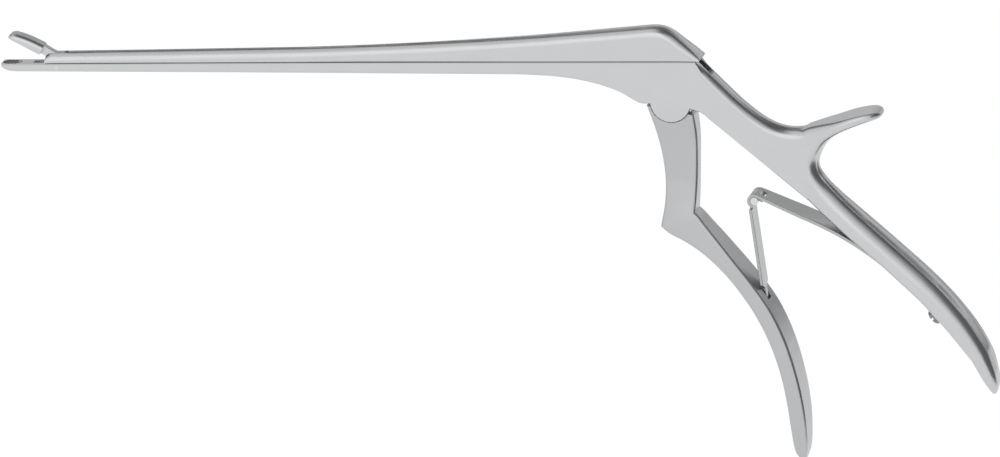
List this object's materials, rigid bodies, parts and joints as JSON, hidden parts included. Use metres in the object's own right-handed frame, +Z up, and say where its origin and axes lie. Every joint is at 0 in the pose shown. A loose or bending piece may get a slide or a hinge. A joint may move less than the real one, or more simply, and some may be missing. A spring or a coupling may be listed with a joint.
{
  "type": "rongeur",
  "caption": "Surgical rongeur with sliding shaft: squeezing the sprung front handle draws the shaft forward and shuts the hinged cup jaw.",
  "frame": {"origin": "saddle between the thumb spur and the rear handle, in the middle plane, where the web of the thumb rests", "axes": "+X along the shaft from the jaws towards the handles, +Z up, +Y to the side that carries the pivot screw's head"},
  "size_m": [0.2505, 0.012, 0.1125],
  "materials": {
    "body_steel": "satin, fine matt blast",
    "spring_steel": "satin rolled strip",
    "pin_steel": "turned"
  },
  "bodies": {
    "frame": {"frame": "body_steel", "pivot_screw": "pin_steel", "jaw_pivot_pin": "pin_steel", "spring_screw": "pin_steel"},
    "slide": {"slide": "body_steel", "drive_pin": "pin_steel", "jaw_link_pin": "pin_steel"},
    "lever": {"front_handle": "body_steel"},
    "jaw": {"upper_jaw": "body_steel"},
    "rear_spring": {"leaf_spring": "spring_steel", "spring_hinge_pin": "pin_steel"},
    "strut": {"spring_strut": "spring_steel"}
  },
  "joints": [
    {"name": "lever_squeeze", "type": "hinge", "parent": "frame", "child": "lever", "pos_m": [-0.036, 0, 0.0159], "axis": [0, -1, 0], "range_deg": [0, 8.98], "stiffness_Nm_per_rad": 4, "springref_deg": -6.88},
    {"name": "slide_travel", "type": "slide", "parent": "frame", "child": "slide", "axis": [-1, 0, 0], "range_m": [0, 0.0021]},
    {"name": "jaw_close", "type": "hinge", "parent": "frame", "child": "jaw", "pos_m": [-0.1934, 0, 0.0253], "axis": [0, -1, 0], "range_deg": [0, 28.8]},
    {"name": "leaf_flex", "type": "hinge", "parent": "frame", "child": "rear_spring", "pos_m": [0.0046, 0, -0.0183], "axis": [0, 1, 0], "range_deg": [0, 8.16], "deforming": ["leaf_spring"]},
    {"name": "strut_swing", "type": "hinge", "parent": "rear_spring", "child": "strut", "pos_m": [-0.01616, 0, -0.00967], "axis": [0, -1, 0], "range_deg": [0, 22.34]}
  ],
  "couplings": [
    {"joint": "slide_travel", "follows": "lever_squeeze", "m_per_rad": 0.0134},
    {"joint": "jaw_close", "follows": "lever_squeeze", "ratio": 3.2074},
    {"joint": "leaf_flex", "follows": "lever_squeeze", "ratio": 0.9083},
    {"joint": "strut_swing", "follows": "lever_squeeze", "ratio": 2.4873}
  ]
}
